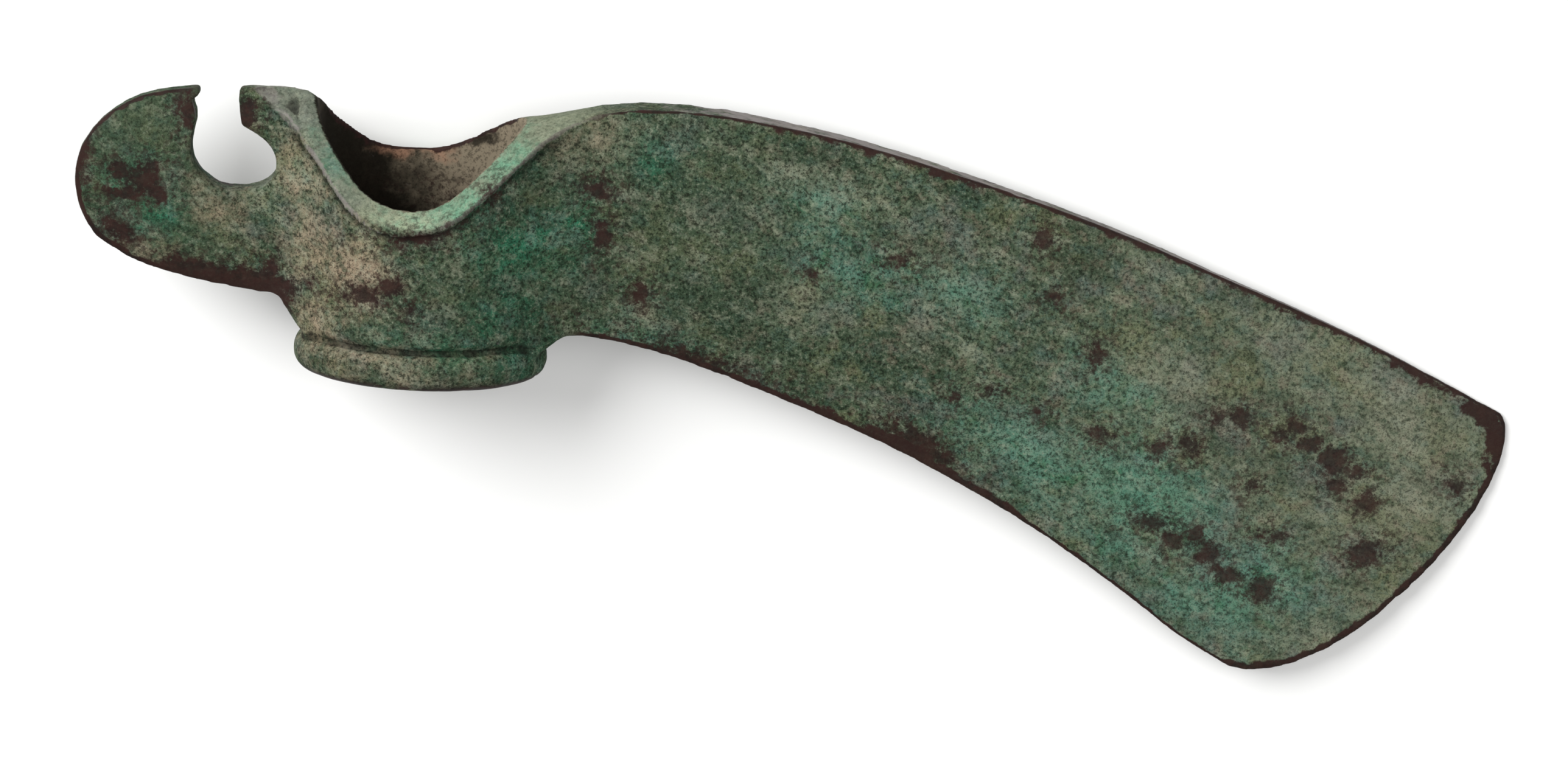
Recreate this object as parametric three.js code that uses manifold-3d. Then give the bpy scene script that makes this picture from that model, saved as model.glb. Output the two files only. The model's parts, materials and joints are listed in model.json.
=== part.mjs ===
// A cast bronze shaft-hole axe head, lying on its flank.
//
// The head is one casting. A hooked butt plate, an oval socket with a saddle-cut mouth and a collar
// at its foot, and a long drooping blade run into each other without a joint.
//
// The head's own frame, in millimetres: x runs along the blade, away from the butt. y runs up the
// socket from its foot, with the bore on x = 0. z crosses the thickness, and the front face looks
// along +z. The last section lays the head down, so that +Z is up.
import * as THREE from "three";
import { mergeVertices } from "three/addons/utils/BufferGeometryUtils.js";
import Module from "manifold-3d";

// Driving dimensions: the socket
const SOCKET_HALF_LENGTH = 17.6;
const SOCKET_HALF_WIDTH = 13.4;
const SOCKET_FROM = -21; // where the butt plate takes over
const SOCKET_TO = 24; // where the blade takes over
const SOCKET_FOOT = 3; // the casting starts this high, inside the collar
const GROOVE_DEPTH = 0.6;
const GROOVE_SPAN = 1.7;
const BUTT_FLANK_SLOPE = 0.85;
const BLADE_FLANK_SLOPE = 0.65;
const BUTT_FILLET = 5;
const BLADE_FILLET = 4;
const BUTT_FOOT_FROM = 15.3; // from here the foot rises towards the butt
const BUTT_FOOT_SLOPE = 1.25;
const BLADE_FOOT_FROM = 16.5; // from here it rises towards the blade
const BLADE_FOOT_SLOPE = 0.74;

// The bore and the collar
const BORE_FOOT_HALF_LENGTH = 14;
const BORE_MOUTH_HALF_LENGTH = 15.1;
const BORE_LEAN = -1.3; // the mouth lies this far towards the butt
const BORE_SHAPE = 0.71; // width over length of the oval
const BORE_SIDES = 56;
const COLLAR_HALF_LENGTH = 18.7;
const COLLAR_SHAPE = 0.81; // width over length, as for the bore
const COLLAR_FOOT = -0.5;
const COLLAR_TOP = 4.7;
const COLLAR_ROUND = 1.7; // at its top
const COLLAR_FOOT_ROUND = 2.6;
const BEAD_SHAPE = 0.767; // a low bead over the groove
const RING_SIDES = 56;

// The mouth of the socket
const LIP_TOP = 41;
const RIM_TOP = 41.4;
const BACK_DIP_SHARE = 0.69; // the mouth dips less at the back than at the front
const FRONT_DIP_SPREAD = 0.05; // and the front dip is longer by this share
const RIM_WIDTH = 3.5;
const RIM_FALL = 2.1; // from the bore's edge to the outer edge of the rim
const RIM_BUTT_FALL = 2.4; // and so much more towards the butt
const RIM_RISE = 0.8; // share of the bore's height where the rim takes up its oval
const RIM_BUTT_FADE = 0.2; // how early the fall dies out towards the butt and towards the blade
const RIM_BLADE_FADE = 1.1;
const RIM_LIP_PROUD = 0.8;
const RIM_LIP_HEIGHT = 1.2;
const RIM_LIP_FADE_FROM = 17;
const RIM_LIP_FADE_TO = 23;

// The butt plate and the blade
const BUTT_HALF_THICKNESS = 2.4;
const BUTT_EDGE_HALF_THICKNESS = 1.3;
const BUTT_END_BULGE = 0.65;
const BLADE_ROOT_HALF_THICKNESS = 4.6;
const SPINE_ROOT_HALF_THICKNESS = 3.2;
const BELLY_ROOT_HALF_THICKNESS = 2.4;
const EDGE_HALF_THICKNESS = 0.45;
const BLADE_CROWN = 0.42; // share of the way down from the spine where the blade is thickest
const EDGE_BULGE = 11; // how far the cutting edge bows out from the chord of its corners
const EDGE_SKEW = 0.11; // it bows more towards its lower corner
const EDGE_FULLNESS = 2.2; // the powers of its bow: how full it is, and how round its corners are
const EDGE_CORNER = 0.58;

// Fineness of the faces
const BUTT_RIBS = 14;
const SOCKET_RIBS = 38;
const BLADE_RIBS = 26;
const ROWS = 16;
const NOTCH_STEPS = 36;

// Outline, seen from the front
const smoothCurve = (points) => new THREE.SplineCurve(points.map(([x, y]) => new THREE.Vector2(x, y)));

const buttTop = smoothCurve([
  [-50.7, 30.6], [-48.6, 33.9], [-45.4, 36.8], [-41, 39], [-35, 40.2], [-28, 40.6],
  [SOCKET_FROM, LIP_TOP],
]);
const buttFoot = smoothCurve([
  [-50.7, 22], [-49.3, 19], [-47.2, 16.8], [-41.6, 13.8], [-34.5, 11.8], [-27.3, 10.6],
  [SOCKET_FROM, 10.1],
]);
const spine = smoothCurve([
  [SOCKET_TO, 39.7], [29, 40.5], [35, 40.8], [45.7, 40], [62, 37.2], [80.2, 32.4],
  [98.6, 26.7], [117, 19.8], [135.6, 12.4], [150, 5.8], [160.3, 0.8],
]);
const belly = smoothCurve([
  [SOCKET_TO, 6.4], [31.4, 5.1], [42.3, 2], [57, -3.3], [71.7, -9.3],
  [90.4, -19.1], [105.5, -29], [114, -35.2], [121, -39.3],
]);
const notch = smoothCurve([
  [-34.6, 38.5], [-33.9, 36], [-34.6, 31.4], [-33.4, 28.2], [-30.4, 26], [-26.6, 25.6],
  [-23.4, 26.7], [-21.9, 29], [-22.2, 31.6], [-24.2, 33.7], [-27.1, 35.1],
]);
const lipFace = [[-27.5, 36.6], [-27.7, 39.2], [-27.1, 46], [-33.9, 46], [-33.5, 39.3]];
const mouth = smoothCurve([
  [-34, 47], [-24, 41.9], [-19.5, 41], [-16.4, 39.3], [-13.1, 33.4], [-8, 27.4], [-2, 25.7], [3, 26.9],
  [8, 31.3], [13, 36.2], [17, 37.9], [20.7, 38.8], [24.3, 39.9], [34, 44],
]);

// Half the length of the bead, up its height. It runs out into the wall.
const beadProfile = smoothCurve([[17, 5.5], [17.8, 6], [18.05, 6.8], [17.9, 8], [17.6, 9.6], [17.1, 12]]);

// Shape helpers
const { clamp, lerp, smoothstep } = THREE.MathUtils;
const easedShare = (share) => (1 - Math.cos(Math.PI * share)) / 2;
const softMax = (a, b, reach) => Math.max(a, b) + Math.max(reach - Math.abs(a - b), 0) ** 2 / (4 * reach);

// Height, at one x, of a curve that runs from left to right.
function heightAt(curve, x) {
  let low = 0;
  let high = 1;
  for (let step = 0; step < 24; step++) {
    const middle = (low + high) / 2;
    if (curve.getPoint(middle).x < x) low = middle;
    else high = middle;
  }
  return curve.getPoint(low).y;
}

// Ribs run down the front face, from the top outline to the foot outline. Each one knows how far it
// stands from the socket, and how it bows where the butt and the cutting edge round off.
function buttRib(share) {
  const reach = 1 - share;
  const bow = (drop) => new THREE.Vector2(-BUTT_END_BULGE * 4 * drop * (1 - drop) * reach ** 3, 0);
  return { top: buttTop.getPointAt(share), foot: buttFoot.getPointAt(share), butt: reach, blade: 0, bow };
}

function socketRib(share) {
  const x = lerp(SOCKET_FROM, SOCKET_TO, easedShare(share));
  const top = lerp(LIP_TOP, spine.getPoint(0).y, (x - SOCKET_FROM) / (SOCKET_TO - SOCKET_FROM));
  const towardsButt = BUTT_FOOT_SLOPE * Math.max(0, -x - BUTT_FOOT_FROM);
  const rise = BLADE_FOOT_SLOPE * Math.max(0, x - BLADE_FOOT_FROM);
  const towardsBlade = Math.min(rise, belly.getPoint(0).y - SOCKET_FOOT);
  const foot = SOCKET_FOOT + towardsButt + towardsBlade;
  const bow = () => new THREE.Vector2();
  return { top: new THREE.Vector2(x, top), foot: new THREE.Vector2(x, foot), butt: 0, blade: 0, bow };
}

function bladeRib(share) {
  const chord = spine.getPoint(1).sub(belly.getPoint(1)).normalize();
  const outward = new THREE.Vector2(chord.y, -chord.x);
  const bow = (drop) => {
    const side = 2 * drop - 1;
    const rounding = (1 - Math.abs(side) ** EDGE_FULLNESS) ** EDGE_CORNER * (1 + EDGE_SKEW * side);
    return outward.clone().multiplyScalar(EDGE_BULGE * rounding * share ** 4);
  };
  return { top: spine.getPointAt(share), foot: belly.getPointAt(share), butt: 0, blade: share, bow };
}

function allRibs() {
  const ribs = [];
  for (let i = 0; i < BUTT_RIBS; i++) ribs.push(buttRib((i / BUTT_RIBS) ** 1.2));
  for (let i = 0; i < SOCKET_RIBS; i++) ribs.push(socketRib(i / SOCKET_RIBS));
  for (let i = 0; i <= BLADE_RIBS; i++) ribs.push(bladeRib(1 - (1 - i / BLADE_RIBS) ** 1.2));
  return ribs;
}

// Half thickness of the socket alone: an oval whose flanks run on straight towards butt and blade.
function socketHalfThickness(x, y) {
  const groove = GROOVE_DEPTH * Math.exp(-(((y - COLLAR_TOP) / GROOVE_SPAN) ** 2));
  const length = SOCKET_HALF_LENGTH - groove;
  const width = SOCKET_HALF_WIDTH - groove;
  const slope = x > 0 ? BLADE_FLANK_SLOPE : BUTT_FLANK_SLOPE;
  const steepness = (slope * length) / width;
  const turn = steepness / Math.hypot(1, steepness);
  const along = Math.abs(x) / length;
  const oval = width * Math.sqrt(1 - Math.min(along, turn) ** 2);
  return oval - slope * length * Math.max(along - turn, 0);
}

// Half thickness of the plate that the butt and the blade are drawn out from.
function plateHalfThickness(rib, x, drop) {
  const taper = (root, power) => lerp(EDGE_HALF_THICKNESS, root, (1 - rib.blade) ** power);
  const crown = taper(BLADE_ROOT_HALF_THICKNESS, 1);
  const toSpine = drop < BLADE_CROWN;
  const border = toSpine ? taper(SPINE_ROOT_HALF_THICKNESS, 1.3) : taper(BELLY_ROOT_HALF_THICKNESS, 1.1);
  const span = toSpine ? BLADE_CROWN : 1 - BLADE_CROWN;
  const blade = lerp(crown, border, ((drop - BLADE_CROWN) / span) ** 2);
  const swell = (1 - Math.abs(2 * drop - 1) ** 3) * (1 - rib.butt ** 4);
  const butt = lerp(BUTT_EDGE_HALF_THICKNESS, BUTT_HALF_THICKNESS, swell);
  return lerp(butt, blade, smoothstep(x, SOCKET_FROM, SOCKET_TO));
}

// The casting before its openings are cut, grown by a margin around the socket.
function casting(margin) {
  const ribs = allRibs();
  const box = new THREE.BoxGeometry(1, 1, 1, ribs.length - 1, ROWS, 1);
  const place = box.attributes.position;
  for (let i = 0; i < place.count; i++) {
    const rib = ribs[Math.round((place.getX(i) + 0.5) * (ribs.length - 1))];
    const drop = easedShare(0.5 - place.getY(i));
    const point = rib.top.clone().lerp(rib.foot, drop).add(rib.bow(drop));
    const fade = 1 - smoothstep(Math.abs(point.x), RIM_LIP_FADE_FROM, RIM_LIP_FADE_TO);
    const plate = plateHalfThickness(rib, point.x, drop);
    const fillet = point.x > 0 ? BLADE_FILLET : BUTT_FILLET;
    const half = softMax(plate, socketHalfThickness(point.x, point.y), fillet) + margin * fade;
    place.setXYZ(i, point.x, point.y, Math.sign(place.getZ(i)) * half);
  }
  return box;
}

// The bore's oval at one share of its height.
function boreOval(rise) {
  const halfLength = lerp(BORE_FOOT_HALF_LENGTH, BORE_MOUTH_HALF_LENGTH, rise);
  return { middle: BORE_LEAN * rise, halfLength, halfWidth: halfLength * BORE_SHAPE };
}

// Everything above the saddle-shaped mouth, lowered by a given amount. Its floor is a fan of rings
// that starts inside the bore, follows the bore's edge and slopes away over the rim.
function aboveMouth(lowered) {
  const clear = [-4, 0, 0.9, 1.8, 2.7, RIM_WIDTH, 5, 8, 12, 18];
  const ceiling = RIM_TOP + 14;
  const profile = clear.map((distance, ring) => new THREE.Vector2(ring + 1, 0));
  profile.push(new THREE.Vector2(clear.length, 1), new THREE.Vector2(1, 1), profile[0]);
  const fan = new THREE.LatheGeometry(profile, BORE_SIDES);
  const place = fan.attributes.position;
  const { middle, halfLength, halfWidth } = boreOval(RIM_RISE);
  for (let i = 0; i < place.count; i++) {
    const angle = Math.atan2(place.getZ(i), place.getX(i));
    const ahead = Math.cos(angle);
    const aside = Math.sin(angle);
    const distance = clear[Math.round(Math.hypot(place.getX(i), place.getZ(i))) - 1];
    const edge = new THREE.Vector2(middle + halfLength * ahead, halfWidth * aside);
    const outward = new THREE.Vector2(ahead / halfLength, aside / halfWidth).normalize();
    const point = edge.clone().addScaledVector(outward, distance);
    const spread = 1 + FRONT_DIP_SPREAD * Math.sqrt(Math.max(0, aside));
    const crest = heightAt(mouth, lerp(edge.x, point.x, Math.abs(ahead) ** 12) / spread);
    const dip = lerp(BACK_DIP_SHARE, 1, 0.5 + 0.5 * aside);
    const across = clamp(distance / RIM_WIDTH, 0, 1);
    const fade = Math.abs(aside) ** (edge.x < 0 ? RIM_BUTT_FADE : RIM_BLADE_FADE);
    const depth = RIM_FALL + RIM_BUTT_FALL * Math.max(0, -ahead);
    const fall = depth * fade * (across + 1 - Math.sqrt(1 - across ** 2)) / 2;
    const floor = RIM_TOP - dip * (RIM_TOP - crest) - fall - lowered;
    place.setXYZ(i, point.x, place.getY(i) > 0.5 ? ceiling : floor, point.y);
  }
  return fan;
}

// An oval ring round the foot of the socket, with a given outline from its underside to its top.
function footRing(outline, shape) {
  const inner = BORE_FOOT_HALF_LENGTH - 3;
  const under = new THREE.Vector2(inner, outline[0].y);
  const over = new THREE.Vector2(inner, outline[outline.length - 1].y);
  return new THREE.LatheGeometry([under, ...outline, over, under], RING_SIDES).scale(1, 1, shape);
}

// The collar is flat below and rounded outside.
function collar() {
  const steps = 8;
  const outline = [new THREE.Vector2(COLLAR_HALF_LENGTH - COLLAR_FOOT_ROUND, COLLAR_FOOT)];
  for (let i = 0; i <= steps; i++) {
    const angle = lerp(-0.44, 0.5, i / steps) * Math.PI;
    const inset = (angle < 0 ? COLLAR_FOOT_ROUND : COLLAR_ROUND) * (1 - Math.cos(angle) ** 0.85);
    const height = lerp(COLLAR_FOOT, COLLAR_TOP, 0.5 + 0.5 * Math.sin(angle));
    outline.push(new THREE.Vector2(COLLAR_HALF_LENGTH - inset, height));
  }
  return footRing(outline, COLLAR_SHAPE);
}

const bead = () => footRing(beadProfile.getPoints(8), BEAD_SHAPE);

function bore() {
  const past = 10;
  const tube = new THREE.CylinderGeometry(1, 1, RIM_TOP + 2 * past, BORE_SIDES);
  tube.translate(0, RIM_TOP / 2, 0);
  const place = tube.attributes.position;
  for (let i = 0; i < place.count; i++) {
    const { middle, halfLength, halfWidth } = boreOval(place.getY(i) / RIM_TOP);
    place.setX(i, middle + halfLength * place.getX(i));
    place.setZ(i, halfWidth * place.getZ(i));
  }
  return tube;
}

function buttNotch() {
  const outline = notch.getPoints(NOTCH_STEPS).concat(lipFace.map(([x, y]) => new THREE.Vector2(x, y)));
  const depth = 40;
  const block = new THREE.ExtrudeGeometry(new THREE.Shape(outline), { depth, bevelEnabled: false });
  return block.translate(0, 0, -depth / 2);
}

// Joining and cutting
const wasm = await Module();
wasm.setup();

function solid(geometry) {
  geometry.deleteAttribute("normal");
  geometry.deleteAttribute("uv");
  const welded = mergeVertices(geometry, 1e-4);
  const mesh = new wasm.Mesh({
    numProp: 3,
    vertProperties: new Float32Array(welded.attributes.position.array),
    triVerts: new Uint32Array(welded.index.array),
  });
  return new wasm.Manifold(mesh);
}

function geometryOf(manifold) {
  const mesh = manifold.getMesh();
  const geometry = new THREE.BufferGeometry();
  geometry.setAttribute("position", new THREE.BufferAttribute(mesh.vertProperties, 3));
  geometry.setIndex(new THREE.BufferAttribute(mesh.triVerts, 1));
  return geometry;
}

const rimLip = solid(casting(RIM_LIP_PROUD)).intersect(solid(aboveMouth(RIM_LIP_HEIGHT)));
const head = solid(casting(0))
  .add(rimLip)
  .add(solid(collar()))
  .add(solid(bead()))
  .subtract(solid(aboveMouth(0)))
  .subtract(solid(bore()))
  .subtract(solid(buttNotch()));

// Lying down: the head rests on the back of its collar, the back of its rim and the tip of its edge.
function restingNormal(geometry) {
  const place = geometry.attributes.position;
  const touches = [
    (p) => p.y < 6 && p.x < 20,
    (p) => p.y > 12 && Math.abs(p.x) < 20,
    (p) => p.x > 100,
  ];
  const normal = new THREE.Vector3(0, 0, 1);
  for (let round = 0; round < 8; round++) {
    const lowest = touches.map((test) => {
      let best = null;
      for (let i = 0; i < place.count; i++) {
        const point = new THREE.Vector3().fromBufferAttribute(place, i);
        if (test(point) && (best === null || point.dot(normal) < best.dot(normal))) best = point;
      }
      return best;
    });
    normal.crossVectors(lowest[2].sub(lowest[0]), lowest[1].sub(lowest[0])).normalize();
    if (normal.z < 0) normal.negate();
  }
  return normal;
}

const bronze = new THREE.MeshStandardMaterial({ color: 0x55614d, roughness: 0.62, metalness: 0.35 });
const axeHead = new THREE.Mesh(geometryOf(head), bronze);
axeHead.name = "axe_head";

const lying = new THREE.Group();
lying.add(axeHead);
lying.quaternion.setFromUnitVectors(restingNormal(axeHead.geometry), new THREE.Vector3(0, 0, 1));
const room = new THREE.Box3().setFromObject(lying, true);
const middle = room.getCenter(new THREE.Vector3());
lying.position.set(-middle.x, -middle.y, -room.min.z);

const part = new THREE.Group();
part.add(lying);
export default part;
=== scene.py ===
# %% [markdown]
# # A bronze axe head under its green patina
#
# The head is one casting: a hooked butt plate, an oval socket with a saddle-cut mouth and a collar, and
# a long drooping blade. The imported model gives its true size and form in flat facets. This lesson gives
# it the skin of an old casting, lays the corrosion where it lies on the real head, and lights it softly.
#
# The frame comes first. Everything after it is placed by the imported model, in metres, with +Z up.

# %% Load the frame
import json
import math

import bmesh
import bpy
import mathutils
import numpy
from mathutils import Matrix, Vector


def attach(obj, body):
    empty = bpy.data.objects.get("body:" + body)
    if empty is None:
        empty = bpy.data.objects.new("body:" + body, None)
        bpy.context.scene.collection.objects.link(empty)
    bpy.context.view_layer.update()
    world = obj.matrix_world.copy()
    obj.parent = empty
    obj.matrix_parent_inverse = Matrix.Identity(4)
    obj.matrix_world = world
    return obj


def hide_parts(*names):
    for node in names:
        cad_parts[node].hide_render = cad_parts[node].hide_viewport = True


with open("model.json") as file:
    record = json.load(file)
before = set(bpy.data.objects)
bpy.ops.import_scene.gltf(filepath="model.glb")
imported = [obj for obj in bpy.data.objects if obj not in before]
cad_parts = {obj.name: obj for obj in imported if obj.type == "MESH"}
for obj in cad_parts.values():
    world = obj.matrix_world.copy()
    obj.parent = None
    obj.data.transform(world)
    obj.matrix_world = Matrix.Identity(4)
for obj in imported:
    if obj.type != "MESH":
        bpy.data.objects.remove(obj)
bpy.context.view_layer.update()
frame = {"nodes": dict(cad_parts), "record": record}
cad_head = frame["nodes"]["axe_head"]
MM = 0.001

# %% [markdown]
# ## The head's own directions
#
# The head lies on its flank, tipped a few degrees, so its own directions aren't quite the frame's. Marks
# on the metal are easier to place in the head's directions: along the blade, up the socket and out of the
# front face, in millimetres from the foot of the bore. The seat for the haft, under the collar, gives
# the socket's direction and a point on the middle plane. The far tip of the blade gives the other one.

# %% Directions of the head
SEAT_TO_BORE = 15.05 * MM  # from the seat's point to the axis of the bore
SEAT_TO_FOOT = 0.5 * MM  # and up to the foot of the bore

seat = frame["record"]["mounts"][0]
seat_point = Vector(seat["pos_m"])
tip = max((vertex.co for vertex in cad_head.data.vertices), key=lambda place: place.x)
up_axis = -Vector(seat["axis"]).normalized()
reach = tip - seat_point
along_axis = (reach - up_axis * reach.dot(up_axis)).normalized()
out_axis = along_axis.cross(up_axis)
origin = seat_point + along_axis * SEAT_TO_BORE + up_axis * SEAT_TO_FOOT
print("foot of the bore, mm:", [round(value / MM, 2) for value in origin])

# %% [markdown]
# ## Camera
#
# The camera looks down on the head as it lies. It faces the front face, leaning a little towards the
# socket's mouth, so that the bore's far wall shows above the front rim. A long lens at 0.8 m keeps the
# picture's slight perspective. Depth of field stays off.

# %% Camera
LEAN = math.radians(14.5)  # from the front face's normal towards the mouth
ROLL = math.radians(3)
CAMERA_DISTANCE = 800 * MM
PICTURE_WIDTH = 231.84 * MM  # what the picture takes in at that distance
AIM_RIGHT = 53.82 * MM  # the picture's middle, from the foot of the bore
AIM_UP = -2.295 * MM
SENSOR_WIDTH = 36
NEAREST_SEEN = 10 * MM

rolled_up = up_axis * math.cos(ROLL) - along_axis * math.sin(ROLL)
picture_right = along_axis * math.cos(ROLL) + up_axis * math.sin(ROLL)
picture_up = rolled_up * math.cos(LEAN) - out_axis * math.sin(LEAN)
towards_camera = rolled_up * math.sin(LEAN) + out_axis * math.cos(LEAN)
stand = origin + picture_right * AIM_RIGHT + picture_up * AIM_UP + towards_camera * CAMERA_DISTANCE

lens = bpy.data.cameras.new("camera")
lens.sensor_width = SENSOR_WIDTH
lens.lens = SENSOR_WIDTH * CAMERA_DISTANCE / PICTURE_WIDTH
lens.clip_start = NEAREST_SEEN
camera = bpy.data.objects.new("camera", lens)
turned = Matrix((picture_right, picture_up, towards_camera)).transposed().to_4x4()
camera.matrix_world = Matrix.Translation(stand) @ turned
bpy.context.scene.collection.objects.link(camera)
bpy.context.scene.camera = camera
print("lens, mm:", round(lens.lens, 1), " camera at:", [round(value, 3) for value in stand])

# %% [markdown]
# ## Node maths as Python
#
# The relief and the patina are both sums of noises and masks. One small class wraps a node's output, so
# that `1 - mask` adds the Math node that it means. Its method `node` adds any other node: the settings
# first, then the values or links of its sockets. Helpers give the steps, the noises, the colour blends
# and the larger of two values.

# %% A wrapped socket and its helpers
class Wire:
    """One output of a node. Sums and products of wires become Math nodes."""

    def __init__(self, tree, socket=None):
        self.tree = tree
        self.socket = socket

    def node(self, kind, settings=None, sockets=None, output=0):
        made = self.tree.nodes.new(kind)
        for name, value in (settings or {}).items():
            setattr(made, name, value)
        for name, value in (sockets or {}).items():
            if isinstance(value, Wire):
                self.tree.links.new(value.socket, made.inputs[name])
            else:
                made.inputs[name].default_value = value
        return Wire(self.tree, made.outputs[output])

    def math(self, operation, first, second=0.0):
        return self.node("ShaderNodeMath", {"operation": operation}, {0: first, 1: second})

    def __add__(self, other):
        return self.math("ADD", self, other)

    def __sub__(self, other):
        return self.math("SUBTRACT", self, other)

    def __mul__(self, other):
        return self.math("MULTIPLY", self, other)

    def __rsub__(self, other):
        return self.math("SUBTRACT", other, self)

    __radd__ = __add__
    __rmul__ = __mul__


def step(value, low, high):
    """0 up to low, 1 from high on, with a smooth rise between. High may lie under low."""
    ends = {"Value": value, "From Min": low, "From Max": high}
    return value.node("ShaderNodeMapRange", {"interpolation_type": "SMOOTHSTEP"}, ends)


def noise(place, size, detail, roughness, shift):
    """Noise around 0.5 with lumps of about that size, at a place in millimetres."""
    apart = (shift, -shift, 2 * shift)
    moved = place.node("ShaderNodeVectorMath", {"operation": "ADD"}, {0: place, 1: apart})
    sockets = {"Vector": moved, "Scale": 1 / size, "Detail": detail, "Roughness": roughness}
    return place.node("ShaderNodeTexNoise", {}, sockets, "Fac")


def blend(share, under, over):
    """The colour over laid on the colour under, where share is 1."""
    colours = [value if isinstance(value, Wire) else (*value, 1.0) for value in (under, over)]
    sockets = {0: share, 6: colours[0], 7: colours[1]}
    return share.node("ShaderNodeMix", {"data_type": "RGBA"}, sockets, 2)


def larger(first, second):
    """The larger of two values."""
    return first.math("MAXIMUM", first, second)


print("helpers ready:", [helper.__name__ for helper in (step, noise, blend, larger)])

# %% [markdown]
# ## A skin without facets
#
# Smoothing the facets as they are would pinch, because their triangles are long and uneven. So a copy of
# the solid is merged and covered with an even net of small squares by the voxel remesh. The cutting edge
# is under a millimetre thick, so the copy is stretched across its thickness while the net is made. The
# net then has room on both sides of the edge. It is finer than the finished mesh: it is thinned out at
# the end, once it carries the relief.

# %% Net over the solid
NET_SIZE = 0.40 * MM
NET_STRETCH = 1.5
MERGE_WITHIN = 0.001 * MM


def plain_mesh(piece):
    """The piece's mesh with its modifiers applied."""
    bpy.context.view_layer.update()
    return bpy.data.meshes.new_from_object(piece.evaluated_get(bpy.context.evaluated_depsgraph_get()))


def even_net(node):
    merged = bmesh.new()
    merged.from_mesh(node.data)
    bmesh.ops.remove_doubles(merged, verts=merged.verts, dist=MERGE_WITHIN)
    mesh = bpy.data.meshes.new("merged solid")
    merged.to_mesh(mesh)
    merged.free()
    mesh.transform(Matrix.Diagonal((1, 1, NET_STRETCH, 1)))
    stretched = bpy.data.objects.new("stretched solid", mesh)
    bpy.context.scene.collection.objects.link(stretched)
    remesh = stretched.modifiers.new("even net", "REMESH")
    remesh.mode = "VOXEL"
    remesh.voxel_size = NET_SIZE
    net = plain_mesh(stretched)
    net.transform(Matrix.Diagonal((1, 1, 1 / NET_STRETCH, 1)))
    bpy.data.objects.remove(stretched)
    return net


net = even_net(cad_head)
head = bpy.data.objects.new("patinated_head", net)
bpy.context.scene.collection.objects.link(head)
print("squares in the net:", len(net.polygons))

# %% [markdown]
# ## Where the corrosion lies
#
# Patina isn't even. Dark red-brown cuprite shows where the green crust has come away, in patches and in
# bare lines along the edges. Bright verdigris gathers in some places and pale earth clings in others; one
# earth patch, on the collar's upper side, is a painted highlight. The lip is worn, the belly near the
# lower corner is sheltered, and the bore has painted shadow and rust under its far rim. Each such patch
# is an oval on the face: its place along the blade and up the socket, its two half sizes and its turn in
# degrees. The net keeps how far inside its nearest patch each point lies, in millimetres. The finish
# breaks up the patches' edges later.
#
# Plain ovals would show as ovals, so a smooth noise shifts every point first. It is given a seed, because
# without one the patches lie differently at every run.
#
# The back can't be seen, so it takes fewer, broader patches, moved along the head.

# %% Patches on the front face, in millimetres and degrees
CUPRITE_PATCHES = [
    # Butt: the large patch, the foot's edge, the hook and the lip
    (-44.8, 27.4, 1.7, 1.5, 0), (-41.2, 26.4, 2.3, 1.4, 0), (-43.6, 24.2, 2.5, 1.3, 0),
    (-39.2, 24.6, 1.7, 1.3, 0), (-40.4, 28.4, 1.4, 1.1, 0), (-44.5, 18.3, 2.4, 1.2, -30),
    (-32.0, 12.4, 7.4, 2.0, -9), (-24.0, 11.8, 5.0, 2.4, -7), (-22.1, 14.2, 1.3, 1.3, 0),
    (-35.2, 37.0, 1.3, 2.4, 0), (-26.3, 37.0, 1.2, 1.7, 0), (-50.2, 29.5, 0.7, 2.6, 0),
    # Socket
    (-8.0, 13.1, 2.5, 1.0, 8), (-4.2, 14.7, 1.6, 1.2, 0), (-16.1, 13.5, 0.6, 0.5, 0),
    (-0.2, 22.3, 2.8, 0.7, 10), (-1.2, 11.5, 0.5, 0.5, 0), (9.8, 29.3, 0.8, 0.5, 45),
    # Root of the blade
    (25.1, 28.8, 1.7, 1.2, -17), (26.3, 22.2, 1.0, 1.7, 0), (32.2, 13.2, 1.4, 1.6, 0),
    (57.1, 17.5, 0.6, 0.6, 0), (70.4, 20.3, 1.2, 0.6, 0),
    # Middle of the blade
    (90.9, 24.3, 1.0, 1.2, 0), (92.9, 15.5, 0.9, 0.9, 0), (99.6, 7.5, 1.1, 1.4, 0),
    (100.9, -5.2, 1.5, 1.1, 0), (91.7, -2.0, 0.8, 0.8, 0), (110.0, -6.8, 1.4, 1.1, 0),
    (114.8, -6.3, 1.2, 1.5, 0), (84.7, 1.0, 0.8, 0.6, 0), (79.0, -0.2, 0.7, 0.7, 0),
    # The lower trail
    (109.6, -18.3, 2.0, 1.0, 0), (112.7, -21.2, 1.4, 1.4, 0), (116.1, -20.1, 1.4, 1.1, 0),
    (118.4, -22.8, 1.6, 1.4, 0), (120.9, -25.7, 2.0, 1.1, -17), (126.8, -27.7, 1.9, 1.8, 0),
    (127.5, -19.7, 1.4, 0.8, 0), (123.9, -12.1, 0.7, 0.7, 0),
    # The trail that bends round towards the edge
    (118.0, -1.6, 0.8, 0.8, 0), (121.7, -1.5, 1.4, 1.4, 0), (129.9, -2.3, 1.2, 1.1, 0),
    (127.7, -4.2, 1.4, 1.0, -7), (132.5, -5.0, 1.6, 1.5, 0), (136.0, -7.5, 2.0, 1.9, 0),
    (139.5, -9.1, 1.3, 1.1, 0), (136.7, -11.1, 1.4, 1.2, 0), (141.5, -13.9, 1.3, 1.5, 0),
    (141.9, -21.7, 2.5, 1.7, 13), (154.7, -10.6, 1.1, 0.7, -37),
    # Over the belly
    (74.0, -7.6, 5.5, 1.6, -26), (39.5, 3.9, 5.5, 0.8, -15),
]
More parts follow.
